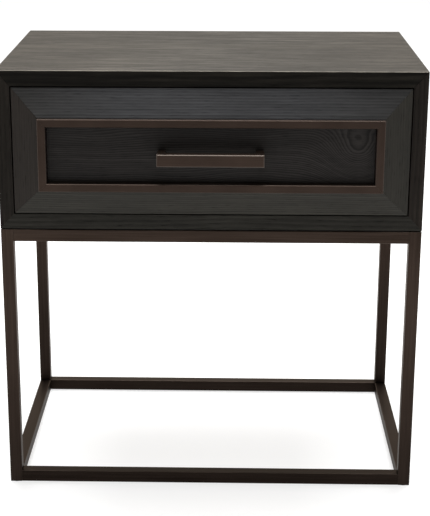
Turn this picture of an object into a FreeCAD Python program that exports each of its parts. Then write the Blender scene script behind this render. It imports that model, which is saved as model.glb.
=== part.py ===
import FreeCAD, Part
import math
import os
from FreeCAD import Vector
import Sketcher

# Side table: a cubic frame of square steel tube carries a mitred wooden case with one drawer.
# +X is to the right of somebody facing the drawer, +Y runs to the back and +Z is up.
# The origin lies on the floor, below the middle of the whole table, handle included.

DIMENSIONS = [
    # whole table
    ("width", 540),
    ("depth", 355),
    ("height", 560),
    # tube frame and feet
    ("frame_height", 355),
    ("tube", 16),
    ("tube_wall", 1.5),
    ("tube_round", 1.2),
    ("glide_drop", 0.5),
    ("foot_margin", 0.5),
    ("glide_plug", 14),
    # fixing of the case on the frame
    ("pad_gap", 1.5),
    ("pad_radius", 8),
    ("tab_length", 32),
    ("tab_reach", 24),
    ("tab_thick", 3),
    ("tab_offset", 180),
    # case boards
    ("top_board", 20),
    ("side_board", 18),
    ("low_board", 19),
    ("back_board", 9),
    ("back_inset", 2),
    ("batten", 18),
    # drawer front
    ("reveal", 1.5),
    ("front_recess", 1),
    ("front_board", 18),
    ("bevel_width", 34.5),
    ("bevel_rise", 22),
    ("bevel_edge", 1.5),
    ("ledge_rise", 16),
    ("trim_width", 10.5),
    ("trim_rise", 13),
    ("trim_chamfer", 1),
    ("panel_gap", 0.3),
    # handle
    ("handle_length", 133),
    ("handle_reach", 53),
    ("bar_depth", 12),
    ("bar_height", 15.5),
    ("bar_chamfer", 1),
    ("post_width", 10),
    ("post_height", 11),
    # drawer box
    ("box_board", 12),
    ("box_low", 386),
    ("box_height", 130),
    ("box_length", 300),
    ("bottom_board", 6),
    ("bottom_lift", 8),
    ("groove", 5),
    # drawer runners, three nested channels on each side
    ("runner_space", 12.7),
    ("runner_length", 300),
    ("runner_level", 430),
    ("runner_setback", 1),
    ("case_screw_inset", 25),
    ("drawer_screw_inset", 40),
    ("runner_wall", 1.2),
    ("outer_half", 17.5),
    ("outer_reach", 9.2),
    ("middle_half", 13.6),
    ("middle_inset", 3.1),
    ("middle_reach", 7.6),
    ("inner_half", 10.9),
    ("inner_reach", 7.5),
    ("cage_length", 200),
    ("cage_width", 3.4),
    ("cage_thick", 0.8),
    ("ball_radius", 1),
    ("ball_inset", 2.6),
    # screws
    ("screw_radius", 2),
    ("screw_head", 4),
    ("screw_head_thick", 2.4),
    ("screw_bite", 12),
    ("small_screw_radius", 1.5),
    ("small_screw_head", 3),
    ("small_head_thick", 1.2),
    ("small_screw_bite", 8),
    ("clearance_radius", 2.3),
    ("front_screw_inset", 45),
    ("front_screw_low", 35),
    ("front_screw_high", 25),
    ("handle_thread", 10),
]

# Places that several pieces share, worked out from the sheet.
FRONT = "((size.handle_reach - size.depth) / 2)"
BACK = "((size.handle_reach + size.depth) / 2)"
HALF_WIDTH = "(size.width / 2)"
CASE_LOW = "(size.frame_height + size.pad_gap)"
OPEN_HALF = f"({HALF_WIDTH} - size.side_board)"
OPEN_LOW = f"({CASE_LOW} + size.low_board)"
OPEN_TOP = "(size.height - size.top_board)"
FRONT_HALF = f"({OPEN_HALF} - size.reveal)"
FRONT_LOW = f"({OPEN_LOW} + size.reveal)"
FRONT_TOP = f"({OPEN_TOP} - size.reveal)"
FRONT_MIDDLE = f"(({FRONT_LOW} + {FRONT_TOP}) / 2)"
FRONT_FACE = f"({FRONT} + size.front_recess)"
PANEL_FACE = f"({FRONT_FACE} - size.ledge_rise)"
RING_WIDTH = "(size.bevel_width + size.trim_width)"
BOX_FRONT = f"({FRONT_FACE} + size.front_board)"
BOX_HALF = f"({OPEN_HALF} - size.runner_space)"
BOX_INNER = f"({BOX_HALF} - size.box_board)"
BOX_BACK = f"({BOX_FRONT} + size.box_length)"
BOX_TOP = "(size.box_low + size.box_height)"
BOTTOM_LOW = "(size.box_low + size.bottom_lift)"
BOTTOM_TOP = f"({BOTTOM_LOW} + size.bottom_board)"
RUNNER_START = f"({BOX_FRONT} + size.runner_setback)"
PANEL_BACK = f"({BACK} - size.back_inset)"
HANDLE_SPACING = "(size.handle_length - size.post_width)"

PLANE_NORMALS = {"XY_Plane": 2, "XZ_Plane": 1, "YZ_Plane": 0}
DIRECTIONS = {
    "+X": Vector(1, 0, 0),
    "-X": Vector(-1, 0, 0),
    "+Y": Vector(0, 1, 0),
    "-Y": Vector(0, -1, 0),
    "+Z": Vector(0, 0, 1),
}
SIDES = (("left", -1), ("right", 1))

doc = FreeCAD.newDocument("side_table")
size = doc.addObject("Spreadsheet::Sheet", "size")
nodes = []


def fill_sheet():
    for row, (alias, number) in enumerate(DIMENSIONS, start=1):
        size.set(f"A{row}", alias)
        size.set(f"B{row}", str(number))
        size.setAlias(f"B{row}", alias)
    doc.recompute()


def place(piece, base):
    for axis, expression in zip("xyz", base):
        if expression != "0":
            piece.setExpression(f"Placement.Base.{axis}", expression)


def turn(piece, axis, angle):
    piece.Placement = FreeCAD.Placement(Vector(0, 0, 0), FreeCAD.Rotation(axis, angle))


def keep(piece):
    nodes.append(piece)
    return piece


# ---- sketches and solids -------------------------------------------------------------------


def new_body(label):
    return doc.addObject("PartDesign::Body", label)


def sketch_on(body, role, name):
    sketch = body.newObject("Sketcher::SketchObject", name)
    plane = next(item for item in body.Origin.OriginFeatures if item.Role == role)
    sketch.AttachmentSupport = [(plane, "")]
    sketch.MapMode = "FlatFace"
    return sketch


def pin_vertex(sketch, line, across, up):
    """Ties the start of a line to the sketch's origin by two expressions."""
    for kind, axis, expression in (("DistanceX", -2, across), ("DistanceY", -1, up)):
        if expression == "0":
            sketch.addConstraint(Sketcher.Constraint("PointOnObject", line, 1, axis))
            continue
        start = sketch.getPoint(line, 1)
        now = start.x if kind == "DistanceX" else start.y
        index = sketch.addConstraint(Sketcher.Constraint(kind, -1, 1, line, 1, now))
        sketch.setExpression(f"Constraints[{index}]", expression)


def polygon(sketch, points):
    """A closed outline whose corners are pairs of expressions."""
    count = len(points)
    first = sketch.GeometryCount
    corners = []
    for step in range(count):
        angle = 2 * math.pi * (step + 0.5) / count
        corners.append(Vector(math.cos(angle), math.sin(angle), 0))
    for step in range(count):
        sketch.addGeometry(Part.LineSegment(corners[step], corners[(step + 1) % count]))
    for step in range(count):
        following = first + (step + 1) % count
        sketch.addConstraint(Sketcher.Constraint("Coincident", first + step, 2, following, 1))
    for step, (across, up) in enumerate(points):
        pin_vertex(sketch, first + step, across, up)


def pad(body, sketch, length, symmetric=False, reverse=False):
    feature = body.newObject("PartDesign::Pad", f"{body.Name}_pad")
    feature.Profile = sketch
    feature.setExpression("Length", length)
    if symmetric:
        feature.SideType = "Symmetric"
    feature.Reversed = reverse
    doc.recompute()
    return feature


def prism(label, role, points, length, base, symmetric=False):
    """Pads an outline on one origin plane towards + of the remaining axis."""
    body = new_body(label)
    sketch = sketch_on(body, role, f"{label}_outline")
    polygon(sketch, points)
    pad(body, sketch, length, symmetric, reverse=role == "XZ_Plane" and not symmetric)
    place(body, base)
    return body


def outer_edges(shape, axis):
    """Names the four outermost straight edges of a shape that run along one axis."""
    box = shape.BoundBox
    low = (box.XMin, box.YMin, box.ZMin)
    high = (box.XMax, box.YMax, box.ZMax)
    names = []
    for index, edge in enumerate(shape.Edges, start=1):
        ends = [tuple(vertex.Point) for vertex in edge.Vertexes]
        across = [way for way in range(3) if way != axis]
        straight = all(abs(ends[0][way] - ends[-1][way]) < 1e-6 for way in across)
        outside = all(min(abs(ends[0][way] - low[way]), abs(ends[0][way] - high[way])) < 1e-6
                      for way in across)
        if straight and outside:
            names.append(f"Edge{index}")
    return names


def face_edges(shape, axis, level):
    """Names the edges that lie wholly in the plane where one coordinate has a given value."""
    names = []
    for index, edge in enumerate(shape.Edges, start=1):
        if all(abs(tuple(vertex.Point)[axis] - level) < 1e-6 for vertex in edge.Vertexes):
            names.append(f"Edge{index}")
    return names


def box(label, low, lengths):
    piece = doc.addObject("Part::Box", label)
    for side, expression in zip(("Length", "Width", "Height"), lengths):
        piece.setExpression(side, expression)
    place(piece, low)
    return piece


def cylinder(label, base, direction, radius, length):
    piece = doc.addObject("Part::Cylinder", label)
    rotation = FreeCAD.Rotation(Vector(0, 0, 1), DIRECTIONS[direction])
    piece.Placement = FreeCAD.Placement(Vector(0, 0, 0), rotation)
    piece.setExpression("Radius", radius)
    piece.setExpression("Height", length)
    place(piece, base)
    return piece


def group(label, members):
    piece = doc.addObject("Part::Compound", label)
    piece.Links = members
    return piece


def fuse(label, members):
    piece = doc.addObject("Part::MultiFuse", label)
    piece.Shapes = members
    return piece


def drilled(label, blank, holes):
    """Cuts round holes, each (base, direction, radius, length), out of a blank."""
    tools = []
    for number, (base, direction, radius, length) in enumerate(holes, start=1):
        tools.append(cylinder(f"{label}_hole_{number}", base, direction, radius, length))
    piece = doc.addObject("Part::Cut", label)
    piece.Base = blank
    piece.Tool = group(f"{label}_holes", tools)
    return keep(piece)


def opposite(direction):
    return ("-" if direction[0] == "+" else "+") + direction[1]


def screws(label, seats, shank, head, head_thick, length):
    """Screws whose heads sit on their seats; each seat is (base, direction of the shank)."""
    members = []
    for number, (base, direction) in enumerate(seats, start=1):
        stem = cylinder(f"{label}_shank_{number}", base, direction, shank, length)
        cap = cylinder(f"{label}_head_{number}", base, direction, head, head_thick)
        slide_back(cap, base, direction, head_thick)
        members.append(fuse(f"{label}_{number}", [cap, stem]))
    return keep(group(label, members))


def slide_back(piece, base, direction, distance):
    """Moves a piece against the direction it points in, by a distance."""
    way = "XYZ".index(direction[1])
    sign = "-" if direction[0] == "+" else "+"
    piece.setExpression(f"Placement.Base.{'xyz'[way]}", f"{base[way]} {sign} {distance}")


# ---- steel frame ---------------------------------------------------------------------------


def square_tube(label, role, length, base):
    outer = [("0", "0"), ("size.tube", "0"), ("size.tube", "size.tube"), ("0", "size.tube")]
    far = "size.tube - size.tube_wall"
    near = "size.tube_wall"
    inner = [(near, near), (far, near), (far, far), (near, far)]
    body = new_body(label)
    sketch = sketch_on(body, role, f"{label}_section")
    polygon(sketch, outer)
    polygon(sketch, inner)
    feature = pad(body, sketch, length, reverse=role == "XZ_Plane")
    rounding = body.newObject("PartDesign::Fillet", f"{label}_rounding")
    rounding.Base = (feature, outer_edges(feature.Shape, PLANE_NORMALS[role]))
    rounding.setExpression("Radius", "size.tube_round")
    place(body, base)
    return keep(body)


def frame_tubes():
    right = f"{HALF_WIDTH} - size.tube"
    rear = f"{BACK} - size.tube"
    columns = (("left", f"-{HALF_WIDTH}"), ("right", right))
    rows = (("front", FRONT), ("rear", rear))
    levels = (("bottom", "size.glide_drop"), ("top", "size.frame_height - size.tube"))
    leg_length = "size.frame_height - size.glide_drop"
    for row, low_y in rows:
        for column, low_x in columns:
            square_tube(f"leg_{row}_{column}", "XY_Plane", leg_length, (low_x, low_y, "size.glide_drop"))
    for level, low_z in levels:
        for row, low_y in rows:
            base = (f"-{HALF_WIDTH} + size.tube", low_y, low_z)
            square_tube(f"{level}_rail_{row}", "YZ_Plane", "size.width - 2 * size.tube", base)
        for column, low_x in columns:
            base = (low_x, f"{FRONT} + size.tube", low_z)
            square_tube(f"{level}_rail_{column}", "XZ_Plane", "size.depth - 2 * size.tube", base)


def foot_glides():
    """Square plugs pushed into the open leg ends, each with a thin round foot."""
    for row, centre_y in (("front", f"{FRONT} + size.tube / 2"), ("rear", f"{BACK} - size.tube / 2")):
        for column, sign in SIDES:
            label = f"foot_glide_{row}_{column}"
            centre_x = f"{sign} * ({HALF_WIDTH} - size.tube / 2)"
            inside = "(size.tube - 2 * size.tube_wall)"
            low = (f"{centre_x} - {inside} / 2", f"{centre_y} - {inside} / 2", "size.glide_drop")
            plug = box(f"{label}_plug", low, (inside, inside, "size.glide_plug"))
            foot = cylinder(f"{label}_foot", (centre_x, centre_y, "0"), "+Z",
                            "size.tube / 2 - size.foot_margin", "size.glide_drop")
            keep(fuse(label, [plug, foot]))


def tab_centres():
    """Middle of each fixing tab, with the edge of the rail it is welded to."""
    places = []
    for edge, way in ((f"{FRONT} + size.tube", 1), (f"{BACK} - size.tube", -1)):
        for _, sign in SIDES:
            places.append((f"{sign} * size.tab_offset", f"{edge} + {way} * size.tab_reach / 2"))
    return places


def case_fixing():
    """Tabs welded to the top rails, spacer washers on them and screws up into the case."""
    tabs = []
    washers = []
    seats = []
    for number, (centre_x, centre_y) in enumerate(tab_centres(), start=1):
        low = (f"{centre_x} - size.tab_length / 2", f"{centre_y} - size.tab_reach / 2",
               "size.frame_height - size.tab_thick")
        plate = box(f"tab_plate_{number}", low, ("size.tab_length", "size.tab_reach", "size.tab_thick"))
        hole = cylinder(f"tab_hole_{number}", (centre_x, centre_y, low[2]), "+Z",
                        "size.clearance_radius", "size.tab_thick")
        tab = doc.addObject("Part::Cut", f"tab_{number}")
        tab.Base = plate
        tab.Tool = hole
        tabs.append(tab)
        seat = (centre_x, centre_y, "size.frame_height")
        disc = cylinder(f"washer_disc_{number}", seat, "+Z", "size.pad_radius", "size.pad_gap")
        bore = cylinder(f"washer_bore_{number}", seat, "+Z", "size.clearance_radius", "size.pad_gap")
        washer = doc.addObject("Part::Cut", f"washer_{number}")
        washer.Base = disc
        washer.Tool = bore
        washers.append(washer)
        seats.append(((centre_x, centre_y, "(size.frame_height - size.tab_thick)"), "+Z"))
    keep(group("fixing_tabs", tabs))
    keep(group("spacer_washers", washers))
    screws("case_fixing_screws", seats, "size.screw_radius", "size.screw_head",
           "size.screw_head_thick", "size.tab_thick + size.pad_gap + size.screw_bite")


# ---- wooden case ---------------------------------------------------------------------------


def runner_screw_places(inset):
    """Where three screws stand along a runner, the outer two at an inset from its ends."""
    start = f"{RUNNER_START} + {inset}"
    middle = f"{RUNNER_START} + size.runner_length / 2"
    end = f"{RUNNER_START} + size.runner_length - {inset}"
    return (start, middle, end)


CASE_SCREW_PLACES = runner_screw_places("size.case_screw_inset")
DRAWER_SCREW_PLACES = runner_screw_places("size.drawer_screw_inset")


def case_boards():
    """Four boards that meet in mitres, so that each has a trapezoid for its front outline."""
    outer_left = (f"-{HALF_WIDTH}", "size.height")
    outer_right = (HALF_WIDTH, "size.height")
    inner_left = (f"-{OPEN_HALF}", OPEN_TOP)
    inner_right = (OPEN_HALF, OPEN_TOP)
    low_left = (f"-{HALF_WIDTH}", CASE_LOW)
    low_right = (HALF_WIDTH, CASE_LOW)
    floor_left = (f"-{OPEN_HALF}", OPEN_LOW)
    floor_right = (OPEN_HALF, OPEN_LOW)
    base = ("0", FRONT, "0")

    outline = [outer_left, outer_right, inner_right, inner_left]
    keep(prism("case_top", "XZ_Plane", outline, "size.depth", base))

    bottom = prism("case_bottom_blank", "XZ_Plane", [low_left, low_right, floor_right, floor_left],
                   "size.depth", base)
    holes = [((x, y, CASE_LOW), "+Z", "size.screw_radius", "size.screw_bite") for x, y in tab_centres()]
    drilled("case_bottom", bottom, holes)

    outlines = {"left": [low_left, outer_left, inner_left, floor_left],
                "right": [low_right, outer_right, inner_right, floor_right]}
    for side, sign in SIDES:
        board = prism(f"case_{side}_blank", "XZ_Plane", outlines[side], "size.depth", base)
        outward = "+X" if sign > 0 else "-X"
        holes = [((f"{sign} * {OPEN_HALF}", y, "size.runner_level"), outward, "size.small_screw_radius",
                  "size.small_screw_bite") for y in CASE_SCREW_PLACES]
        drilled(f"case_side_{side}", board, holes)


def case_back():
    """Inset back panel, screwed from behind to an upright batten in each rear corner."""
    inner_face = f"({PANEL_BACK} - size.back_board)"
    height = f"({OPEN_TOP} - {OPEN_LOW})"
    seats = []
    for side, sign in SIDES:
        centre_x = f"{sign} * ({OPEN_HALF} - size.batten / 2)"
        levels = [f"{OPEN_LOW} + {height} * {share}" for share in (0.15, 0.5, 0.85)]
        side_seats = [((centre_x, PANEL_BACK, level), "-Y") for level in levels]
        seats += side_seats
        blank = box(f"back_batten_{side}_blank",
                    (f"{centre_x} - size.batten / 2", f"{inner_face} - size.batten", OPEN_LOW),
                    ("size.batten", "size.batten", height))
        holes = [((base[0], inner_face, base[2]), way, "size.small_screw_radius", "size.small_screw_bite")
                 for base, way in side_seats]
        drilled(f"back_batten_{side}", blank, holes)
    panel = box("case_back_blank", (f"-{OPEN_HALF}", inner_face, OPEN_LOW),
                (f"2 * {OPEN_HALF}", "size.back_board", height))
    holes = [(base, way, "size.small_screw_radius", "size.back_board") for base, way in seats]
    drilled("case_back", panel, holes)
    screws("back_panel_screws", seats, "size.small_screw_radius", "size.small_screw_head",
           "size.small_head_thick", "size.back_board + size.small_screw_bite")


# ---- drawer runners ------------------------------------------------------------------------


def channel(label, sign, web, opening, half, reach):
    """A folded U channel along Y. Its web stands at web and its two lips point along opening."""
    back = f"{sign} * {web}"
    inside = f"{sign} * ({web} + {opening} * size.runner_wall)"
    tip = f"{sign} * ({web} + {opening} * {reach})"
    inner_half = f"({half} - size.runner_wall)"
    points = [(back, f"-{half}"), (back, half), (tip, half), (tip, inner_half), (inside, inner_half),
              (inside, f"-{inner_half}"), (tip, f"-{inner_half}"), (tip, f"-{half}")]
    return prism(label, "XZ_Plane", points, "size.runner_length", ("0", RUNNER_START, "size.runner_level"))


def runners():
    case_seats = []
    drawer_seats = []
    for side, sign in SIDES:
        outward = "+X" if sign > 0 else "-X"
        inward = opposite(outward)

        outer = channel(f"case_runner_{side}_blank", sign, OPEN_HALF, -1, "size.outer_half",
                        "size.outer_reach")
        seat = f"{sign} * ({OPEN_HALF} - size.runner_wall)"
        holes = [((seat, y, "size.runner_level"), outward, "size.small_screw_radius", "size.runner_wall")
                 for y in CASE_SCREW_PLACES]
        drilled(f"case_runner_{side}", outer, holes)
        case_seats += [((seat, y, "size.runner_level"), outward) for y in CASE_SCREW_PLACES]

        middle_web = f"({OPEN_HALF} - size.middle_inset)"
        keep(channel(f"middle_runner_{side}", sign, middle_web, -1, "size.middle_half", "size.middle_reach"))
        ball_cage(f"ball_cage_{side}", sign)

        inner = channel(f"drawer_runner_{side}_blank", sign, BOX_HALF, 1, "size.inner_half",
                        "size.inner_reach")
        seat = f"{sign} * ({BOX_HALF} + size.runner_wall)"
        holes = [((seat, y, "size.runner_level"), inward, "size.small_screw_radius", "size.runner_wall")
                 for y in DRAWER_SCREW_PLACES]
        drilled(f"drawer_runner_{side}", inner, holes)
        drawer_seats += [((seat, y, "size.runner_level"), inward) for y in DRAWER_SCREW_PLACES]
    length = "size.runner_wall + size.small_screw_bite"
    screws("case_runner_screws", case_seats, "size.small_screw_radius", "size.small_screw_head",
           "size.small_head_thick", length)
    screws("drawer_runner_screws", drawer_seats, "size.small_screw_radius", "size.small_screw_head",
           "size.small_head_thick", length)


def ball_cage(label, sign):
    """Two strips of steel balls, above and below, between the outer and the middle channel."""
    ball_count = 10
    gap_middle = "((size.outer_half - size.runner_wall + size.middle_half) / 2)"
    centre_x = f"{sign} * ({OPEN_HALF} - size.outer_reach + size.ball_inset)"
    start = f"({RUNNER_START} + (size.runner_length - size.cage_length) / 2)"
    strips = []
    for name, way in (("lower", -1), ("upper", 1)):
        level = f"(size.runner_level + {way} * {gap_middle})"
        low = (f"{centre_x} - size.cage_width / 2", start, f"{level} - size.cage_thick / 2")
        members = [box(f"{label}_{name}_strip", low,
                       ("size.cage_width", "size.cage_length", "size.cage_thick"))]
        for number in range(ball_count):
            ball = doc.addObject("Part::Sphere", f"{label}_{name}_ball_{number + 1}")
            ball.setExpression("Radius", "size.ball_radius")
            share = (number + 0.5) / ball_count
            place(ball, (centre_x, f"{start} + size.cage_length * {share}", level))
            members.append(ball)
        strips.append(fuse(f"{label}_{name}", members))
    keep(group(label, strips))


# ---- drawer front --------------------------------------------------------------------------

# Each member of the drawer front's raised frame is modelled as the lower one, lying along X
# with its outer edge at Z = 0 and its back at Y = 0, and is then turned about Y into place.
RING_PLACES = {
    "bottom": (0, ("0", FRONT_LOW), f"2 * {FRONT_HALF}"),
    "top": (180, ("0", FRONT_TOP), f"2 * {FRONT_HALF}"),
    "left": (90, (f"-{FRONT_HALF}", FRONT_MIDDLE), f"{FRONT_TOP} - {FRONT_LOW}"),
    "right": (-90, (FRONT_HALF, FRONT_MIDDLE), f"{FRONT_TOP} - {FRONT_LOW}"),
}


def mitred_member(label, section, breadth, length, angle, base):
    """Pads a section along X and cuts both ends at 45 degrees."""
    body = new_body(label)
    sketch = sketch_on(body, "YZ_Plane", f"{label}_section")
    polygon(sketch, section)
    bar = pad(body, sketch, length, symmetric=True)
    ends = sketch_on(body, "XZ_Plane", f"{label}_mitres")
    half = f"(({length}) / 2)"
    past = f"({breadth} + 1)"
    for sign in (-1, 1):
        polygon(ends, [(f"{sign} * {half}", "0"), (f"{sign} * ({half} - {past})", past),
                       (f"{sign} * ({half} + 1)", past), (f"{sign} * ({half} + 1)", "0")])
    mitres = body.newObject("PartDesign::Pocket", f"{label}_mitre_cut")
    mitres.Profile = ends
    mitres.SideType = "Two sides"
    mitres.Type = "ThroughAll"
    mitres.Type2 = "ThroughAll"
    doc.recompute()
    if mitres.Shape.Volume >= bar.Shape.Volume:
        raise RuntimeError(f"{label}: the mitres cut nothing")
    turn(body, Vector(0, 1, 0), angle)
    place(body, base)
    return keep(body)


def bevel_and_trim():
    """The sloping wooden mouldings, and the metal strips that sit on their inner ledges."""
    bevel = [("0", "0"), ("0", RING_WIDTH), ("-size.ledge_rise", RING_WIDTH),
             ("-size.ledge_rise", "size.bevel_width"), ("-size.bevel_rise", "size.bevel_width"),
             ("-size.bevel_edge", "0")]
    low = "size.bevel_width"
    high = RING_WIDTH
    back = "-size.ledge_rise"
    face = "-(size.ledge_rise + size.trim_rise)"
    shoulder = "-(size.ledge_rise + size.trim_rise - size.trim_chamfer)"
    trim = [(back, low), (back, high), (shoulder, high), (face, f"{high} - size.trim_chamfer"),
            (face, f"{low} + size.trim_chamfer"), (shoulder, low)]
    for side, (angle, (base_x, base_z), length) in RING_PLACES.items():
        base = (base_x, FRONT_FACE, base_z)
        mitred_member(f"bevel_{side}", bevel, RING_WIDTH, length, angle, base)
        mitred_member(f"trim_{side}", trim, RING_WIDTH, length, angle, base)


def handle_holes(start, direction, radius, length):
    return [((f"{sign} * {HANDLE_SPACING} / 2", start, FRONT_MIDDLE), direction, radius, length)
            for _, sign in SIDES]


def front_screw_seats():
    """Four screws near the corners of the inner front, driven forwards."""
    seats = []
    for _, sign in SIDES:
        for level in ("(size.box_low + size.front_screw_low)", f"({BOX_TOP} - size.front_screw_high)"):
            across = f"{sign} * ({BOX_INNER} - size.front_screw_inset)"
            seats.append(((across, f"({BOX_FRONT} + size.box_board)", level), "-Y"))
    return seats


def drawer_front():
    blank = box("drawer_front_blank", (f"-{FRONT_HALF}", FRONT_FACE, FRONT_LOW),
                (f"2 * {FRONT_HALF}", "size.front_board", f"{FRONT_TOP} - {FRONT_LOW}"))
    holes = handle_holes(BOX_FRONT, "-Y", "size.screw_radius", "size.front_board")
    for base, way in front_screw_seats():
        holes.append(((base[0], BOX_FRONT, base[2]), way, "size.screw_radius", "size.screw_bite"))
    drilled("drawer_front_board", blank, holes)

    inset = f"({RING_WIDTH} + size.panel_gap)"
    panel = box("drawer_panel_blank", (f"-{FRONT_HALF} + {inset}", PANEL_FACE, f"{FRONT_LOW} + {inset}"),
                (f"2 * ({FRONT_HALF} - {inset})", "size.ledge_rise",
                 f"{FRONT_TOP} - {FRONT_LOW} - 2 * {inset}"))
    drilled("drawer_panel", panel,
            handle_holes(FRONT_FACE, "-Y", "size.screw_radius", "size.ledge_rise"))


def handle():
    """A flat bar with chamfered front edges on two posts, held by screws from inside the drawer."""
    bar = new_body("handle_bar")
    sketch = sketch_on(bar, "XZ_Plane", "handle_bar_outline")
    half_length = "size.handle_length / 2"
    half_height = "size.bar_height / 2"
    polygon(sketch, [(f"-{half_length}", f"-{half_height}"), (half_length, f"-{half_height}"),
                     (half_length, half_height), (f"-{half_length}", half_height)])
    block = pad(bar, sketch, "size.bar_depth")
    edges = bar.newObject("PartDesign::Chamfer", "handle_bar_chamfer")
    edges.Base = (block, face_edges(block.Shape, 1, block.Shape.BoundBox.YMin))
    edges.setExpression("Size", "size.bar_chamfer")
    post_end = f"({FRONT} - size.handle_reach + size.bar_depth)"
    place(bar, ("0", post_end, FRONT_MIDDLE))
    keep(bar)

    for side, sign in SIDES:
        centre_x = f"{sign} * {HANDLE_SPACING} / 2"
        post = box(f"handle_post_{side}_blank",
                   (f"{centre_x} - size.post_width / 2", post_end, f"{FRONT_MIDDLE} - size.post_height / 2"),
                   ("size.post_width", f"{PANEL_FACE} - {post_end}", "size.post_height"))
        drilled(f"handle_post_{side}", post,
                [((centre_x, PANEL_FACE, FRONT_MIDDLE), "-Y", "size.screw_radius", "size.handle_thread")])

    seat = f"({BOX_FRONT} + size.box_board)"
    seats = [((f"{sign} * {HANDLE_SPACING} / 2", seat, FRONT_MIDDLE), "-Y") for _, sign in SIDES]
    screws("handle_screws", seats, "size.screw_radius", "size.screw_head", "size.screw_head_thick",
           "size.box_board + size.front_board + size.ledge_rise + size.handle_thread")


# ---- drawer box ----------------------------------------------------------------------------


def drawer_sides():
    """Upright boards with a groove near the bottom of the inner face."""
    for side, sign in SIDES:
        outer = f"{sign} * {BOX_HALF}"
        inner = f"{sign} * {BOX_INNER}"
        groove = f"{sign} * ({BOX_INNER} + size.groove)"
        points = [(outer, "size.box_low"), (outer, BOX_TOP), (inner, BOX_TOP), (inner, BOTTOM_TOP),
                  (groove, BOTTOM_TOP), (groove, BOTTOM_LOW), (inner, BOTTOM_LOW), (inner, "size.box_low")]
        base = ("0", BOX_FRONT, "0")
        blank = prism(f"drawer_side_{side}_blank", "XZ_Plane", points, "size.box_length", base)
        inward = "-X" if sign > 0 else "+X"
        holes = [((outer, y, "size.runner_level"), inward, "size.small_screw_radius", "size.small_screw_bite")
                 for y in DRAWER_SCREW_PLACES]
        drilled(f"drawer_side_{side}", blank, holes)


def drawer_box_ends():
    """The grooved inner front, and the back that stands on the bottom."""
    front = BOX_FRONT
    back = f"({BOX_FRONT} + size.box_board)"
    groove = f"({back} - size.groove)"
    points = [(front, "size.box_low"), (front, BOX_TOP), (back, BOX_TOP), (back, BOTTOM_TOP),
              (groove, BOTTOM_TOP), (groove, BOTTOM_LOW), (back, BOTTOM_LOW), (back, "size.box_low")]
    base = (f"-{BOX_INNER}", "0", "0")
    blank = prism("drawer_inner_front_blank", "YZ_Plane", points, f"2 * {BOX_INNER}", base)
    holes = handle_holes(back, "-Y", "size.screw_radius", "size.box_board")
    holes += [(base, way, "size.screw_radius", "size.box_board") for base, way in front_screw_seats()]
    drilled("drawer_inner_front", blank, holes)
    screws("front_fixing_screws", front_screw_seats(), "size.screw_radius", "size.screw_head",
           "size.screw_head_thick", "size.box_board + size.screw_bite")

    rear = box("drawer_back_blank", (f"-{BOX_INNER}", f"{BOX_BACK} - size.box_board", BOTTOM_TOP),
               (f"2 * {BOX_INNER}", "size.box_board", f"{BOX_TOP} - {BOTTOM_TOP}"))
    drilled("drawer_back", rear, bottom_screw_holes(BOTTOM_TOP, "size.small_screw_bite"))


def bottom_screw_holes(level, length):
    places = [f"{share} * {BOX_INNER}" for share in (-0.7, 0, 0.7)]
    return [((x, f"({BOX_BACK} - size.box_board / 2)", level), "+Z", "size.small_screw_radius", length)
            for x in places]


def drawer_bottom():
    """A thin panel held in the grooves and screwed up into the back."""
    half = f"({BOX_INNER} + size.groove)"
    start = f"({BOX_FRONT} + size.box_board - size.groove)"
    blank = box("drawer_bottom_blank", (f"-{half}", start, BOTTOM_LOW),
                (f"2 * {half}", f"{BOX_BACK} - {start}", "size.bottom_board"))
    holes = bottom_screw_holes(BOTTOM_LOW, "size.bottom_board")
    drilled("drawer_bottom", blank, holes)
    seats = [(base, way) for base, way, _, _ in holes]
    screws("drawer_bottom_screws", seats, "size.small_screw_radius", "size.small_screw_head",
           "size.small_head_thick", "size.bottom_board + size.small_screw_bite")


# ---- build, check and write ----------------------------------------------------------------


def check_document():
    for item in doc.Objects:
        if "Invalid" in item.State or "Error" in item.State:
            raise RuntimeError(f"{item.Label} did not compute: {item.State}")
    for node in nodes:
        if node.Shape.isNull() or not node.Shape.isValid():
            raise RuntimeError(f"{node.Label} has no valid shape")


def write_steps():
    os.makedirs("parts", exist_ok=True)
    for node in nodes:
        node.Shape.exportStep(f"parts/{node.Label}.step")


fill_sheet()
frame_tubes()
foot_glides()
case_fixing()
case_boards()
case_back()
runners()
drawer_front()
bevel_and_trim()
handle()
drawer_sides()
drawer_box_ends()
drawer_bottom()
doc.recompute()
check_document()
write_steps()
print(f"{len(nodes)} sub-parts written")
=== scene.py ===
"""Looks for a side table: a square-tube steel frame under a dark oak case with one drawer."""
import math

import bpy
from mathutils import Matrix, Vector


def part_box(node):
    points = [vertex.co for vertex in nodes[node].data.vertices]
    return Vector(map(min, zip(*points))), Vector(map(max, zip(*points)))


MM = 0.001
WHITE = (1.0, 1.0, 1.0, 1.0)

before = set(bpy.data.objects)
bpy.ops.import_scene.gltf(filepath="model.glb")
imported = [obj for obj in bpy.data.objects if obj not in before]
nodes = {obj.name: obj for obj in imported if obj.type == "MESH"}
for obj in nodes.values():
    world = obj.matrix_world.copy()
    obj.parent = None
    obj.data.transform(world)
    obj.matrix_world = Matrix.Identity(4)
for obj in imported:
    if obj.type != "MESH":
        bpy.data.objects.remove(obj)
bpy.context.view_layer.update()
scene = bpy.context.scene


# ---- small helpers for node trees ----------------------------------------------------------

# A mix node keeps sockets for every kind of data; these are the places of its colour sockets.
MIX_FACTOR, MIX_FIRST, MIX_SECOND, MIX_RESULT = 0, 6, 7, 2


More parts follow.
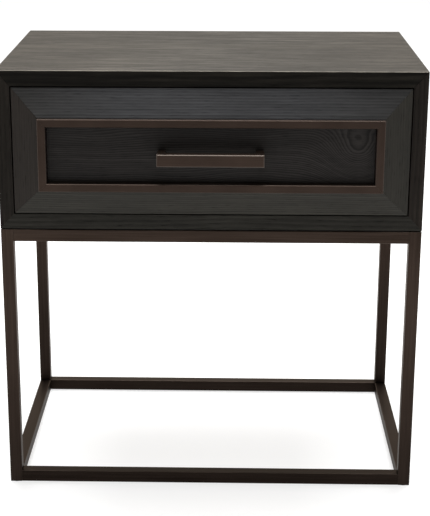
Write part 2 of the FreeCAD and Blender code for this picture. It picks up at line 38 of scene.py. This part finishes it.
class Graph:
    """Builds one node tree. Each method adds a node and returns the socket that matters."""

    def __init__(self, tree):
        self.tree = tree
        tree.nodes.clear()

    def node(self, kind, **settings):
        made = self.tree.nodes.new(kind)
        for name, value in settings.items():
            setattr(made, name, value)
        return made

    def feed(self, socket, value):
        """Links a socket to another, or sets it to a plain value."""
        if isinstance(value, bpy.types.NodeSocket):
            self.tree.links.new(value, socket)
        else:
            socket.default_value = value

    def math(self, operation, first, second=0.0, third=0.0):
        made = self.node("ShaderNodeMath", operation=operation)
        for socket, value in zip(made.inputs, (first, second, third)):
            self.feed(socket, value)
        return made.outputs[0]

    def stretch(self, vector, factors):
        """Multiplies a vector by a fixed factor on each axis."""
        made = self.node("ShaderNodeVectorMath", operation="MULTIPLY")
        self.feed(made.inputs[0], vector)
        made.inputs[1].default_value = factors
        return made.outputs[0]

    def shift(self, vector, other):
        """Adds two vectors."""
        made = self.node("ShaderNodeVectorMath", operation="ADD")
        self.feed(made.inputs[0], vector)
        self.feed(made.inputs[1], other)
        return made.outputs[0]

    def noise(self, vector, scale, detail=3.0, roughness=0.5):
        made = self.node("ShaderNodeTexNoise")
        self.feed(made.inputs["Vector"], vector)
        for name, value in (("Scale", scale), ("Detail", detail), ("Roughness", roughness)):
            made.inputs[name].default_value = value
        return made.outputs["Fac"]

    def ramp(self, factor, stops, interpolation="LINEAR"):
        """A colour ramp through stops, each a place from 0 to 1 and a colour of three parts."""
        made = self.node("ShaderNodeValToRGB")
        self.feed(made.inputs[0], factor)
        made.color_ramp.interpolation = interpolation
        elements = made.color_ramp.elements
        while len(elements) < len(stops):
            elements.new(0.5)
        for element, (place, colour) in zip(elements, stops):
            element.position = place
            element.color = rgb(*colour)
        return made.outputs[0]

    def level(self, factor, low, high, out_low=0.0, out_high=1.0):
        """Maps a value from one range to another, clamped."""
        made = self.node("ShaderNodeMapRange", clamp=True)
        for socket, value in zip(made.inputs, (factor, low, high, out_low, out_high)):
            self.feed(socket, value)
        return made.outputs[0]

    def mix(self, factor, first, second, blend="MIX"):
        made = self.node("ShaderNodeMix", data_type="RGBA", blend_type=blend)
        self.feed(made.inputs[MIX_FACTOR], factor)
        self.feed(made.inputs[MIX_FIRST], first)
        self.feed(made.inputs[MIX_SECOND], second)
        return made.outputs[MIX_RESULT]

    def bump(self, height, strength, distance):
        made = self.node("ShaderNodeBump")
        made.inputs["Strength"].default_value = strength
        made.inputs["Distance"].default_value = distance
        self.feed(made.inputs["Height"], height)
        return made.outputs["Normal"]


def new_material(name):
    """A new material, the graph of its node tree, and the inputs of its shader."""
    material = bpy.data.materials.new(name)
    material.use_nodes = True
    graph = Graph(material.node_tree)
    shader = graph.node("ShaderNodeBsdfPrincipled")
    output = graph.node("ShaderNodeOutputMaterial")
    graph.tree.links.new(shader.outputs[0], output.inputs[0])
    return material, graph, shader.inputs


def rgb(red, green, blue):
    """A linear colour with full alpha, from linear parts."""
    return (red, green, blue, 1.0)


def edges_for_wear_and_highlight(graph, patchiness=0.5, lengthwise=False):
    """A mask of the faces that lie askew to all three axes: chamfers and eased or rounded edges. Colour
    lightened through it is wear on the steel, and wear with a painted highlight on the oak's long upper
    edges and the bronze chamfers.

    With lengthwise, only the upper edges that run along X count, which leaves out mitred joints.
    """
    normal = graph.node("ShaderNodeNewGeometry").outputs["True Normal"]
    split = graph.node("ShaderNodeSeparateXYZ")
    graph.feed(split.inputs[0], normal)
    sizes = [graph.math("ABSOLUTE", socket) for socket in split.outputs]
    most = graph.math("MAXIMUM", sizes[0], graph.math("MAXIMUM", sizes[1], sizes[2]))
    askew = graph.level(most, 0.90, 0.98, 1.0, 0.0)
    if lengthwise:
        runs_along_x = graph.level(sizes[0], 0.1, 0.3, 1.0, 0.0)
        faces_up = graph.level(split.outputs["Z"], 0.2, 0.4)
        askew = graph.math("MULTIPLY", askew, runs_along_x)
        askew = graph.math("MULTIPLY", askew, faces_up)
    place = graph.node("ShaderNodeTexCoord").outputs["Object"]
    patch = graph.level(graph.noise(place, 45.0, detail=4.0), 0.30, 0.60, 1.0 - patchiness, 1.0)
    return graph.math("MULTIPLY", askew, patch)


# ---- wood ----------------------------------------------------------------------------------

TURN_TO_X = {"X": (0, 0, 0), "Y": (0, 0, -math.pi / 2), "Z": (0, math.pi / 2, 0)}
PORE_SHADE = 0.35                   # the open pores' colour, as a share of the stain's dark tone
BARE_OAK_AND_HIGHLIGHT = rgb(0.24, 0.22, 0.185)   # bare oak where the stain is rubbed through, and a painted highlight along the case top's front arris
PORE_DEPTH = 0.12 * MM

# One year's ring from its pale early wood to its dark late wood, and back.
RING = [
    (0.0, (0.35,) * 3), (0.15, (0.0,) * 3), (0.65, (0.8,) * 3), (0.88, (1.0,) * 3), (1.0, (0.35,) * 3),
]


def along_grain(lengthwise, across):
    """Stretch factors for a texture drawn out along X, the way a turned board's grain runs."""
    return (lengthwise, across, across)


def growth_rings(graph, board, grain, ring, waver, swirl):
    """Rings round the log's axis, as a dark-to-light value in each ring and a value for each year.

    waver is how far slow waves push a ring aside; swirl is a knot: its place in the piece's own
    frame, how far round it the rings bend, and how far they are pushed there.
    """
    split = graph.node("ShaderNodeSeparateXYZ")
    graph.feed(split.inputs[0], board)
    square_y = graph.math("MULTIPLY", split.outputs["Y"], split.outputs["Y"])
    square = graph.math("MULTIPLY_ADD", split.outputs["Z"], split.outputs["Z"], square_y)
    sway = graph.noise(graph.stretch(grain, along_grain(3.2, 9.0)), 1.0, detail=2.0)
    flutter = graph.noise(graph.stretch(grain, along_grain(11.0, 60.0)), 1.0, detail=2.0)
    push = graph.math("MULTIPLY_ADD", sway, waver, graph.math("MULTIPLY", flutter, waver * 0.12))
    distance = graph.math("ADD", graph.math("SQRT", square), push)
    if swirl:
        centre, reach, lift = swirl
        knot = graph.node("ShaderNodeVectorMath", operation="DISTANCE")
        graph.feed(knot.inputs[0], graph.node("ShaderNodeTexCoord").outputs["Object"])
        knot.inputs[1].default_value = centre
        near = graph.math("DIVIDE", knot.outputs["Value"], reach)
        squared = graph.math("MULTIPLY", near, near)
        fade = graph.math("EXPONENT", graph.math("MULTIPLY", squared, -1.0))
        distance = graph.math("MULTIPLY_ADD", fade, lift, distance)
    rings = graph.math("DIVIDE", distance, ring)
    late = graph.ramp(graph.math("FRACT", rings), RING, "EASE")
    year = graph.noise(graph.math("FLOOR", rings), 3.1, detail=0.0)
    return late, year


def wood(name, along, tones, heart, ring=3.6 * MM, waver=0.010, figure=1.0, streaks=1.0,
         roughness=0.46, specular=0.10, seed=0.0, swirl=None, edge_wear_and_highlight=0.0, ends=None, pitted=0.6):
    """Solid wood cut from a log: growth rings, drawn-out streaks, fibres and open pores.

    along is the axis the grain follows and heart a point on the log's axis, both in the piece's
    own frame; figure and streaks are how strongly the rings and the streaks show,
    edge_wear_and_highlight is how far the long upper edges are lightened, as wear of the stain and as a
    painted highlight, and ends is painted shade that changes the colour toward either end of the piece:
    half the length over which it changes, and the factor on red, green and blue. pitted is how dark the
    open pores are.
    """
    material, graph, inputs = new_material(name)
    turn = graph.node("ShaderNodeMapping", vector_type="TEXTURE")
    turn.inputs["Location"].default_value = heart
    turn.inputs["Rotation"].default_value = TURN_TO_X[along]
    graph.feed(turn.inputs["Vector"], graph.node("ShaderNodeTexCoord").outputs["Object"])
    board = turn.outputs[0]
    grain = graph.shift(board, (seed, seed * 0.37, seed * 0.71))
    late, year = growth_rings(graph, board, grain, ring, waver, swirl)

    cloud = graph.noise(graph.stretch(grain, along_grain(4.5, 9.0)), 1.0, detail=3.0)
    broad = graph.noise(graph.stretch(grain, along_grain(13.0, 75.0)), 1.0, detail=4.0, roughness=0.6)
    streak = graph.noise(graph.stretch(grain, along_grain(11.0, 330.0)), 1.0, detail=3.0, roughness=0.65)
    fibre = graph.noise(graph.stretch(grain, along_grain(40.0, 1900.0)), 1.0, detail=2.0)
    pore = graph.noise(graph.stretch(grain, along_grain(70.0, 1100.0)), 1.0, detail=1.0)
    early = graph.level(late, 0.0, 0.5, 1.0, 0.4)
    pores = graph.math("MULTIPLY", graph.level(pore, 0.57, 0.67), early)

    tone = 0.5
    layers = ((late, 0.34 * figure), (year, 0.45 * figure), (cloud, 0.5), (broad, 0.9 * streaks),
              (streak, 1.2 * streaks), (fibre, 0.35))
    for layer, weight in layers:
        tone = graph.math("MULTIPLY_ADD", graph.math("SUBTRACT", layer, 0.5), weight, tone)
    dark, middle, light = tones
    colour = graph.ramp(tone, [(0.15, dark), (0.5, middle), (0.85, light)])
    pore_colour = rgb(*(part * PORE_SHADE for part in dark))
    colour = graph.mix(graph.math("MULTIPLY", pores, pitted), colour, pore_colour)
    # Painted shade: the colour darkened and warmed toward either end of the piece.
    if ends:
        half, factor = ends
        run = graph.node("ShaderNodeSeparateXYZ")
        graph.feed(run.inputs[0], board)
        unevenness = graph.math("SUBTRACT", cloud, 0.5)
        off = graph.math("ABSOLUTE", graph.math("MULTIPLY_ADD", unevenness, 0.08, run.outputs["X"]))
        colour = graph.mix(graph.level(off, half * 0.4, half), colour, rgb(*factor), "MULTIPLY")
    # Wear and painted highlight: the long upper edges lightened toward bare oak; on the case top this
    # paints the highlight along its front arris.
    if edge_wear_and_highlight:
        wear_and_highlight = edges_for_wear_and_highlight(graph, lengthwise=True)
        colour = graph.mix(graph.math("MULTIPLY", wear_and_highlight, edge_wear_and_highlight), colour, BARE_OAK_AND_HIGHLIGHT)
    graph.feed(inputs["Base Color"], colour)

    rough = graph.math("MULTIPLY_ADD", graph.math("SUBTRACT", broad, 0.5), 0.5 * streaks, roughness)
    rough = graph.math("MULTIPLY_ADD", graph.math("SUBTRACT", cloud, 0.5), 0.25, rough)
    rough = graph.math("MULTIPLY_ADD", graph.math("SUBTRACT", streak, 0.5), 0.35 * streaks, rough)
    graph.feed(inputs["Roughness"], graph.math("MULTIPLY_ADD", pores, 0.22, rough))
    inputs["Specular IOR Level"].default_value = specular
    relief = graph.math("MULTIPLY_ADD", fibre, 0.25, graph.math("MULTIPLY", streak, 0.5))
    relief = graph.math("MULTIPLY_ADD", pores, -0.8, relief)
    graph.feed(inputs["Normal"], graph.bump(relief, 0.4, PORE_DEPTH))
    return material


def stained(red, green, blue, spread=1.9):
    """Dark, middle and light tones of one stain, from its middle tone."""
    shares = (1 / spread, 1.0, spread)
    return tuple(tuple(part * share for part in (red, green, blue)) for share in shares)


# ---- metals, plastic and rubber ------------------------------------------------------------


def drawn_lines(graph, along, lengthwise, across):
    """Noise drawn out along one axis, as brushing, drawing or rolling leaves it."""
    place = graph.node("ShaderNodeTexCoord").outputs["Object"]
    factors = tuple(lengthwise if axis == along else across for axis in "XYZ")
    return graph.noise(graph.stretch(place, factors), 1.0, detail=3.0, roughness=0.65)


STEEL_TONES = ((0.0275, 0.0184, 0.0140), (0.0525, 0.0364, 0.0285))
STEEL_FLECK = rgb(0.07, 0.058, 0.048)
STEEL_RUBBED = rgb(0.10, 0.078, 0.064)
STEEL_TINT = rgb(0.62, 0.60, 0.58)
BRONZE_TONES = ((0.034, 0.0225, 0.0172), (0.052, 0.0350, 0.0270))
BRONZE_RUBBED_AND_HIGHLIGHT = rgb(0.150, 0.130, 0.115)
DUST = rgb(0.06, 0.058, 0.054)


def deepened(tones, depth):
    """Tones made lighter or darker by one factor."""
    return [tuple(part * depth for part in tone) for tone in tones]


def bronzed_steel(name, along, depth=1.0, foot=1.0, sheen=0.2):
    """Steel tube in a dark bronze finish: faint streaks along the tube, cloudy patches, edges lightened
    by wear.

    depth is how light the finish is, foot how much darker it is painted at the floor than 0.25 m up as
    painted shade, and sheen how strongly it mirrors light.
    """
    material, graph, inputs = new_material(name)
    place = graph.node("ShaderNodeTexCoord").outputs["Object"]
    streak = drawn_lines(graph, along, 9.0, 420.0)
    cloud = graph.noise(place, 7.0, detail=4.0)
    peel = graph.noise(place, 900.0, detail=2.0)
    fleck = graph.level(graph.noise(place, 2600.0, detail=0.0), 0.70, 0.78)
    tone = graph.math("MULTIPLY_ADD", streak, 0.6, graph.math("MULTIPLY", cloud, 0.4))
    dark, light = deepened(STEEL_TONES, depth)
    colour = graph.ramp(tone, [(0.36, dark), (0.64, light)])
    colour = graph.mix(graph.math("MULTIPLY", fleck, 0.3), colour, STEEL_FLECK)
    colour = graph.mix(graph.math("MULTIPLY", edges_for_wear_and_highlight(graph), 0.35), colour, STEEL_RUBBED)
    # Painted shade: the finish darkened toward the floor, below 0.25 m.
    if foot < 1.0:
        height = graph.node("ShaderNodeSeparateXYZ")
        graph.feed(height.inputs[0], place)
        low = graph.level(height.outputs["Z"], 0.05, 0.25, 1.0, 0.0)
        colour = graph.mix(low, colour, rgb(foot, foot, foot), "MULTIPLY")
    graph.feed(inputs["Base Color"], colour)
    inputs["Metallic"].default_value = 0.8
    inputs["Specular IOR Level"].default_value = sheen
    inputs["Specular Tint"].default_value = STEEL_TINT
    graph.feed(inputs["Roughness"], graph.math("MULTIPLY_ADD", tone, 0.30, 0.28))
    relief = graph.math("MULTIPLY_ADD", peel, 0.5, graph.math("MULTIPLY", streak, 0.5))
    graph.feed(inputs["Normal"], graph.bump(relief, 0.12, 0.05 * MM))
    return material


def bronze(name, along, depth=1.0, wear_and_highlight=0.45, metallic=0.85):
    """Satin bronze with brush lines drawn along one axis; wear_and_highlight is how bright its chamfers
    are painted, as wear and as a painted highlight.
    """
    material, graph, inputs = new_material(name)
    brush = drawn_lines(graph, along, 14.0, 2200.0)
    cloud = graph.noise(graph.node("ShaderNodeTexCoord").outputs["Object"], 22.0, detail=3.0)
    tone = graph.math("MULTIPLY_ADD", brush, 0.5, graph.math("MULTIPLY", cloud, 0.5))
    dark, light = deepened(BRONZE_TONES, depth)
    colour = graph.ramp(tone, [(0.35, dark), (0.65, light)])
    # Wear and painted highlight: the chamfers lightened toward pale bronze.
    edges = graph.math("MULTIPLY", edges_for_wear_and_highlight(graph, 0.3), wear_and_highlight)
    colour = graph.mix(edges, colour, BRONZE_RUBBED_AND_HIGHLIGHT)
    graph.feed(inputs["Base Color"], colour)
    inputs["Metallic"].default_value = metallic
    inputs["Specular IOR Level"].default_value = 0.3
    graph.feed(inputs["Roughness"], graph.math("MULTIPLY_ADD", brush, 0.16, 0.24))
    graph.feed(inputs["Normal"], graph.bump(brush, 0.06, 0.03 * MM))
    return material


def zinc(name, along, dark=(0.42, 0.42, 0.43), light=(0.60, 0.60, 0.59)):
    """Zinc plate, bright or blackened: rolled lines, soft crystalline patches, thin dull smears."""
    material, graph, inputs = new_material(name)
    rolled = drawn_lines(graph, along, 10.0, 1300.0)
    patch = graph.noise(graph.node("ShaderNodeTexCoord").outputs["Object"], 160.0, detail=3.0)
    tone = graph.math("MULTIPLY_ADD", rolled, 0.4, graph.math("MULTIPLY", patch, 0.6))
    colour = graph.ramp(tone, [(0.35, dark), (0.65, light)])
    graph.feed(inputs["Base Color"], colour)
    inputs["Metallic"].default_value = 1.0
    graph.feed(inputs["Roughness"], graph.math("MULTIPLY_ADD", patch, 0.22, 0.22))
    graph.feed(inputs["Normal"], graph.bump(rolled, 0.08, 0.03 * MM))
    return material


def moulded(name, colour, roughness):
    """Moulded black plastic or rubber: fine spark-eroded grain and faint dust."""
    material, graph, inputs = new_material(name)
    place = graph.node("ShaderNodeTexCoord").outputs["Object"]
    grain = graph.noise(place, 1800.0, detail=2.0)
    dust = graph.noise(place, 60.0, detail=4.0)
    shade = graph.mix(graph.level(dust, 0.5, 0.8, 0.0, 0.25), rgb(*colour), DUST)
    graph.feed(inputs["Base Color"], shade)
    graph.feed(inputs["Roughness"], graph.math("MULTIPLY_ADD", dust, 0.15, roughness - 0.07))
    graph.feed(inputs["Normal"], graph.bump(grain, 0.2, 0.05 * MM))
    return material


# ---- one material for each CAD node --------------------------------------------------------


def beside(node, offset):
    """A point set off from the middle of a node's box."""
    low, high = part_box(node)
    return tuple((low + high) / 2 + Vector(offset))


def case_wood(node, along, offset, tones, seed, **more):
    """Oak of the case, with offset from the board's middle to the axis of its log."""
    # The case boards' long upper edges are lightened a little, as wear and as a painted highlight.
    return wood(f"oak_{node}", along, tones, beside(node, offset), seed=seed, figure=0.5, specular=0.06,
                edge_wear_and_highlight=0.25, **more)


def front_wood(node, along, offset, tones, seed, **more):
    """Oak of the drawer's front, a little smoother than the case."""
    return wood(f"oak_{node}", along, tones, beside(node, offset), seed=seed, roughness=0.42, **more)


def oak_looks():
    """The oak of each board that is seen closed, so that no two boards share their grain. The tones of
    one stain differ board by board as painted light and shade.
    """
    knot = (beside("drawer_panel", (0.184, 0, -0.004)), 0.040, 0.046)
    return {
        "case_top": wood(
            "oak_case_top", "X", stained(0.0094, 0.0083, 0.0066), beside("case_top", (0, 0.03, -0.13)),
            # The case top's front arris is lightened almost to bare oak: mostly a painted highlight,
            # partly wear.
            ring=5.5 * MM, waver=0.012, figure=1.1, streaks=0.9, specular=0.06, seed=1.3, edge_wear_and_highlight=0.95),
        # The bottom board is stained lighter than the top board: painted light from the floor below.
        "case_bottom": case_wood(
            "case_bottom", "X", (0, 0.5, 0.5), stained(0.0232, 0.0220, 0.0188), 5.1, streaks=0.35),
        "case_side_left": case_wood(
            "case_side_left", "Z", (0.5, 0.5, 0), stained(0.0160, 0.0136, 0.0112), 2.7, streaks=0.5),
        "case_side_right": case_wood(
            "case_side_right", "Z", (-0.5, 0.5, 0), stained(0.0175, 0.0142, 0.0118), 8.2, streaks=0.5),
        # The bevels take tones by how light falls on them, as painted light and shade: the top one
        # lighter and bluer, a painted reflection of the light above, the bottom one lit from the floor,
        # the side ones darker.
        "bevel_top": front_wood(
            "bevel_top", "X", (0, 0.1, 0.6), stained(0.0360, 0.0365, 0.0385, 1.5), 3.9,
            # The top bevel darkens toward either end: painted shade.
            streaks=0.65, ends=(0.25, (0.66, 0.63, 0.57))),
        "bevel_bottom": front_wood(
            "bevel_bottom", "X", (0, 0.1, -0.6), stained(0.0305, 0.0288, 0.0243, 1.5), 6.4, streaks=0.6),
        "bevel_left": front_wood(
            "bevel_left", "Z", (-0.6, 0.1, 0), stained(0.0230, 0.0190, 0.0162, 1.5), 7.7,
            streaks=0.3, figure=0.4),
        "bevel_right": front_wood(
            "bevel_right", "Z", (0.6, 0.1, 0), stained(0.0270, 0.0252, 0.0212, 1.5), 9.6,
            streaks=0.3, figure=0.4),
        "drawer_panel": front_wood(
            "drawer_panel", "X", (0, 0.02, -0.5), stained(0.0185, 0.0166, 0.0156), 4.4,
            ring=3.0 * MM, waver=0.042, swirl=knot, streaks=0.35, figure=1.3),
    }


def shared_looks():
    """Materials that several nodes share."""
    plain = stained(0.032, 0.028, 0.024, 1.5)
    pale = stained(0.34, 0.245, 0.15, 1.4)
    boxed = {"roughness": 0.5, "figure": 0.8, "pitted": 0.25}
    blackened = ((0.030, 0.030, 0.031), (0.055, 0.054, 0.052))
    return {
        "bronze_x": bronze("bronze_brushed_x", "X"),
        # The handle posts: a lighter, less mirror-like copy of the bar's bronze, painted light on posts
        # that stand in shade.
        "lightened_bronze_y": bronze("bronze_brushed_y", "Y", depth=1.1, metallic=0.6, wear_and_highlight=0.2),
        "trim_x": bronze("trim_bronze_x", "X", depth=0.85, wear_and_highlight=0.06),
        "trim_z": bronze("trim_bronze_z", "Z", depth=0.85, wear_and_highlight=0.06),
        "frame_x": bronzed_steel("frame_bronzed_x", "X"),
        "frame_y": bronzed_steel("frame_bronzed_y", "Y"),
        # The legs are painted darker toward the floor: painted shade.
        "frame_z": bronzed_steel("frame_bronzed_z", "Z", foot=0.55),
        # The bottom rails: darker, duller copies of the frame's finish, as painted shade where less
        # light reaches them.
        "painted_shade_x": bronzed_steel("frame_bronzed_low_x", "X", depth=0.40, sheen=0.1),
        "painted_shade_y": bronzed_steel("frame_bronzed_low_y", "Y", depth=0.45, sheen=0.1),
        "runner": zinc("runner_zinc", "Y"),
        "screw": zinc("screw_zinc", "X"),
        "dark_screw": zinc("screw_blackened", "Z", *blackened),
        "glide": moulded("glide_plastic", (0.012, 0.012, 0.012), 0.5),
        "washer": moulded("washer_rubber", (0.016, 0.016, 0.016), 0.75),
        "board_x": wood("stained_board_x", "X", plain, (0, 0.6, 0.3), roughness=0.6, seed=11.0),
        "board_z": wood("stained_board_z", "Z", plain, (0.7, 0.5, 0), roughness=0.6, seed=12.0),
        "box_x": wood("drawer_wood_x", "X", pale, (0, 0.5, 0.1), seed=13.0, **boxed),
        "box_y": wood("drawer_wood_y", "Y", pale, (0.6, 0, 0.2), seed=14.0, **boxed),
    }


# The shared look of every other node, by how its name starts; the first start that fits counts.
FAMILIES = (
    ("back_panel_screws", "dark_screw"), ("case_fixing_screws", "dark_screw"),
    ("drawer_bottom_screws", "dark_screw"), ("case_runner_screws", "screw"),
    ("drawer_runner_screws", "screw"), ("handle_screws", "screw"), ("front_fixing_screws", "screw"),
    ("leg_", "frame_z"), ("fixing_tabs", "frame_y"),
    ("top_rail_left", "frame_y"), ("top_rail_right", "frame_y"), ("top_rail_", "frame_x"),
    ("bottom_rail_left", "painted_shade_y"), ("bottom_rail_right", "painted_shade_y"), ("bottom_rail_", "painted_shade_x"),
    ("foot_glide_", "glide"), ("spacer_washers", "washer"),
    ("case_runner_", "runner"), ("middle_runner_", "runner"), ("drawer_runner_", "runner"),
    ("ball_cage_", "runner"),
    ("trim_top", "trim_x"), ("trim_bottom", "trim_x"), ("trim_", "trim_z"),
    ("handle_bar", "bronze_x"), ("handle_post_", "lightened_bronze_y"),
    ("case_back", "board_x"), ("back_batten_", "board_z"), ("drawer_front_board", "board_x"),
    ("drawer_side_", "box_y"), ("drawer_inner_front", "box_x"), ("drawer_back", "box_x"),
    ("drawer_bottom", "box_x"),
)


def dress():
    """Assigns a material to every CAD node."""
    own = oak_looks()
    shared = shared_looks()
    for name, node in nodes.items():
        if name in own:
            material = own[name]
        else:
            material = shared[next(look for start, look in FAMILIES if name.startswith(start))]
        node.data.materials.clear()
        node.data.materials.append(material)


# ---- eased edges ---------------------------------------------------------------------------

# How wide the eased edge of a node is, by how its name starts; the first start that fits counts.
EDGE_WIDTHS = (
    ("case_back", 0.4 * MM), ("case_top", 0.7 * MM), ("case_", 0.3 * MM), ("back_batten", 0.6 * MM),
    ("bevel_", 0.35 * MM), ("trim_", 0.15 * MM), ("handle_", 0.3 * MM), ("drawer_", 0.6 * MM),
    ("leg_", 0.3 * MM), ("top_rail_", 0.3 * MM), ("bottom_rail_", 0.3 * MM),
    ("fixing_tabs", 0.4 * MM), ("foot_glide", 0.4 * MM),
)
PLAIN_NODES = ("_screws", "case_runner", "drawer_runner", "middle_runner", "ball_cage")
WELD_GAP = 0.01 * MM
FLAT_WITHIN = math.radians(0.5)
SHARP_FROM = math.radians(30)


def ease_edges():
    """Rounds the sharp edges of the boards and bars a little, as sanding and rolling leave them.

    Split flat faces are merged first, or the rounding would crease along their seams.
    """
    for name, node in nodes.items():
        if any(part in name for part in PLAIN_NODES):
            continue
        width = next((size for start, size in EDGE_WIDTHS if name.startswith(start)), None)
        if width is None:
            continue
        weld = node.modifiers.new("weld", "WELD")
        weld.merge_threshold = WELD_GAP
        flat = node.modifiers.new("whole_faces", "DECIMATE")
        flat.decimate_type = "DISSOLVE"
        flat.angle_limit = FLAT_WITHIN
        bevel = node.modifiers.new("eased_edges", "BEVEL")
        bevel.width = width
        bevel.segments = 2
        bevel.limit_method = "ANGLE"
        bevel.angle_limit = SHARP_FROM
        bevel.miter_outer = "MITER_ARC"
        normals = node.modifiers.new("normals", "WEIGHTED_NORMAL")
        normals.weight = 80


# ---- floor, light and camera ---------------------------------------------------------------


FLOOR_REACH = 6.0
FLOOR_TONES = ((0.37,) * 3, (0.40,) * 3)
FLOOR_GLOW = 0.64

# How bright the world is behind the table and on the viewer's side, and what overhead adds.
BEHIND, VIEWERS_SIDE, OVERHEAD = 1.30, 0.03, 0.8
LOW_MIDDLE_TINT = rgb(1.0, 0.930, 0.825)
LOW_SIDE_TINT = rgb(1.0, 0.88, 0.73)
HIGH_TINT = rgb(0.95, 0.97, 1.0)


def floor():
    """White paper under the table. It glows a little, so that it looks as white as the world."""
    mesh = bpy.data.meshes.new("floor")
    reach = FLOOR_REACH
    corners = [(-reach, -reach, 0), (reach, -reach, 0), (reach, reach, 0), (-reach, reach, 0)]
    mesh.from_pydata(corners, [], [(0, 1, 2, 3)])
    plane = bpy.data.objects.new("floor", mesh)
    scene.collection.objects.link(plane)
    material, graph, inputs = new_material("floor_paper")
    place = graph.node("ShaderNodeTexCoord").outputs["Object"]
    dark, light = FLOOR_TONES
    tone = graph.ramp(graph.noise(place, 2.0), [(0.3, dark), (0.7, light)])
    graph.feed(inputs["Base Color"], tone)
    inputs["Roughness"].default_value = 0.9
    inputs["Specular IOR Level"].default_value = 0.1
    inputs["Emission Color"].default_value = WHITE
    inputs["Emission Strength"].default_value = FLOOR_GLOW
    plane.data.materials.append(material)


def surroundings():
    """A studio that lights the table from behind and overhead and is dim on the viewer's side.

    The camera sees it as plain white; the light that falls on the table is dimmer and tinted.
    """
    world = bpy.data.worlds.new("studio")
    scene.world = world
    world.use_nodes = True
    graph = Graph(world.node_tree)
    way = graph.node("ShaderNodeTexCoord").outputs["Generated"]
    split = graph.node("ShaderNodeSeparateXYZ")
    graph.feed(split.inputs[0], way)
    back = graph.level(split.outputs["Y"], -0.45, 0.5, VIEWERS_SIDE, BEHIND)
    above = graph.level(split.outputs["Z"], 0.25, 0.85, 0.0, OVERHEAD)
    glow = graph.math("MAXIMUM", back, above)
    lit = graph.node("ShaderNodeBackground")
    graph.feed(lit.inputs["Strength"], glow)
    aside = graph.level(graph.math("ABSOLUTE", split.outputs["X"]), 0.02, 0.15)
    low_tint = graph.mix(aside, LOW_MIDDLE_TINT, LOW_SIDE_TINT)
    tint = graph.mix(graph.level(split.outputs["Z"], 0.35, 0.80), low_tint, HIGH_TINT)
    graph.feed(lit.inputs["Color"], tint)
    seen = graph.node("ShaderNodeBackground")
    seen.inputs["Color"].default_value = WHITE
    seen.inputs["Strength"].default_value = 1.0
    choose = graph.node("ShaderNodeMixShader")
    graph.feed(choose.inputs[0], graph.node("ShaderNodeLightPath").outputs["Is Camera Ray"])
    graph.feed(choose.inputs[1], lit.outputs[0])
    graph.feed(choose.inputs[2], seen.outputs[0])
    output = graph.node("ShaderNodeOutputWorld")
    graph.feed(output.inputs[0], choose.outputs[0])


def softbox(name, place, aim, size, power):
    """A white rectangular lamp at a place, turned to face the point it is aimed at."""
    light = bpy.data.lights.new(name, "AREA")
    light.shape = "RECTANGLE"
    light.size, light.size_y = size
    light.energy = power
    lamp = bpy.data.objects.new(name, light)
    scene.collection.objects.link(lamp)
    lamp.location = place
    direction = Vector(aim) - Vector(place)
    lamp.rotation_mode = "QUATERNION"
    lamp.rotation_quaternion = direction.to_track_quat("-Z", "Y")


LENS = 104.2
SENSOR_WIDTH = 36.0
LENS_SHIFT = (0.0484, 0.0814)
EYE_RIGHT, EYE_BEFORE_CASE, EYE_HEIGHT = 0.0210, 1.8470, 0.8667
LOOK_DOWN = 18.14
TURN_LEFT = 1.466


def camera(case_front):
    """A long lens above the table, a little right of its middle, turned slightly left and down."""
    data = bpy.data.cameras.new("camera")
    data.lens = LENS
    data.sensor_width = SENSOR_WIDTH
    data.shift_x, data.shift_y = LENS_SHIFT
    data.clip_start = 0.1
    eye = bpy.data.objects.new("camera", data)
    scene.collection.objects.link(eye)
    eye.location = (EYE_RIGHT, case_front - EYE_BEFORE_CASE, EYE_HEIGHT)
    eye.rotation_euler = (math.radians(90 - LOOK_DOWN), 0, math.radians(TURN_LEFT))
    scene.camera = eye


surroundings()
floor()
softbox("overhead", (0.0, 0.9, 2.6), (0, 0.6, 0), (2.6, 2.0), 160)
softbox("front_strip", (0.0, -0.95, 2.6), (0, -0.2, 0.5), (1.8, 0.4), 17)
dress()
ease_edges()
camera(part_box("case_top")[0].y)
scene.view_settings.view_transform = "Standard"
